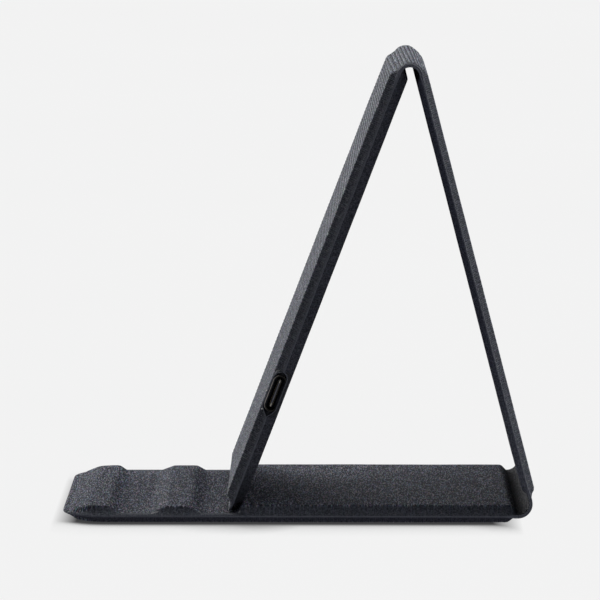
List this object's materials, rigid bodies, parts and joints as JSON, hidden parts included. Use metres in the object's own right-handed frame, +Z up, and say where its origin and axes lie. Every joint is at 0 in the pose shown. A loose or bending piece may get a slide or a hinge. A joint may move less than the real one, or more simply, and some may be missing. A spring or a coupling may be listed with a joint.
{
  "type": "folding wireless charging stand",
  "caption": "Cloth-covered wireless charging pad that folds into a three-panel phone stand: flat base with a phone channel, hinged rear leg and leaning charging panel with a USB-C port.",
  "frame": {"origin": "middle of the flat underside of the base, on the table", "axes": "+X from the phone's side to the rear hinge, +Y across the stand away from the port, +Z up"},
  "size_m": [0.1125, 0.064, 0.1094],
  "materials": {
    "cover_cloth": "heathered charcoal woven polyester laminate",
    "cover_cloth_bonded_edge": "charcoal laminate with a pressed bonded edge",
    "stiffener_board": "glass-filled board, matte",
    "module_housing": "moulded polycarbonate, fine matte",
    "keeper_steel": "rolled strip",
    "magnet_nickel": "nickel plated",
    "coil_copper": "enamelled copper litz",
    "ferrite": "sintered, satin",
    "heat_spreader": "rolled sheet",
    "board_laminate": "solder-masked glass epoxy",
    "chip_epoxy": "moulded epoxy",
    "capacitor_ceramic": "ceramic with tinned ends",
    "port_shell_metal": "drawn steel, warm nickel plate",
    "port_insulator": "liquid crystal polymer",
    "contact_gold": "gold flash"
  },
  "bodies": {
    "base": {"base_top_skin": "cover_cloth", "base_bottom_skin": "cover_cloth", "base_board": "stiffener_board", "keeper_strip": "keeper_steel", "front_ridge": "stiffener_board", "rear_ridge": "stiffener_board", "plateau_board": "stiffener_board", "base_hinge_inner_ply": "cover_cloth_bonded_edge", "base_hinge_outer_ply": "cover_cloth"},
    "rear_leg": {"leg_inner_skin": "cover_cloth", "leg_outer_skin": "cover_cloth", "leg_board": "stiffener_board", "top_hinge_inner_ply": "cover_cloth_bonded_edge", "top_hinge_outer_ply": "cover_cloth"},
    "charging_panel": {"panel_front_skin": "cover_cloth", "panel_rear_skin": "cover_cloth", "module_front_cover": "module_housing", "module_rear_cover": "module_housing", "transmit_coil": "coil_copper", "coil_leads": "coil_copper", "ferrite_sheet": "ferrite", "shield_plate": "heat_spreader", "thermistor": "chip_epoxy", "circuit_board": "board_laminate", "controller_chip": "chip_epoxy", "driver_chips": "chip_epoxy", "resonance_capacitors": "capacitor_ceramic", "filter_inductor": "ferrite", "small_passives": "capacitor_ceramic", "foot_magnets": "magnet_nickel", "usb_port_shell": "port_shell_metal", "usb_port_body": "port_insulator", "usb_port_tongue": "port_insulator", "usb_port_contacts": "contact_gold"}
  },
  "joints": [
    {"name": "base_hinge", "type": "hinge", "parent": "base", "child": "rear_leg", "pos_m": [0.05631, 0, 0.00307], "axis": [0, 1, 0], "range_deg": [0, 104.4], "deforming": ["base_hinge_inner_ply", "base_hinge_outer_ply"]},
    {"name": "top_hinge", "type": "hinge", "parent": "rear_leg", "child": "charging_panel", "pos_m": [0.02808, 0, 0.10901], "axis": [0, 1, 0], "range_deg": [0, 144], "deforming": ["top_hinge_inner_ply", "top_hinge_outer_ply"]}
  ]
}
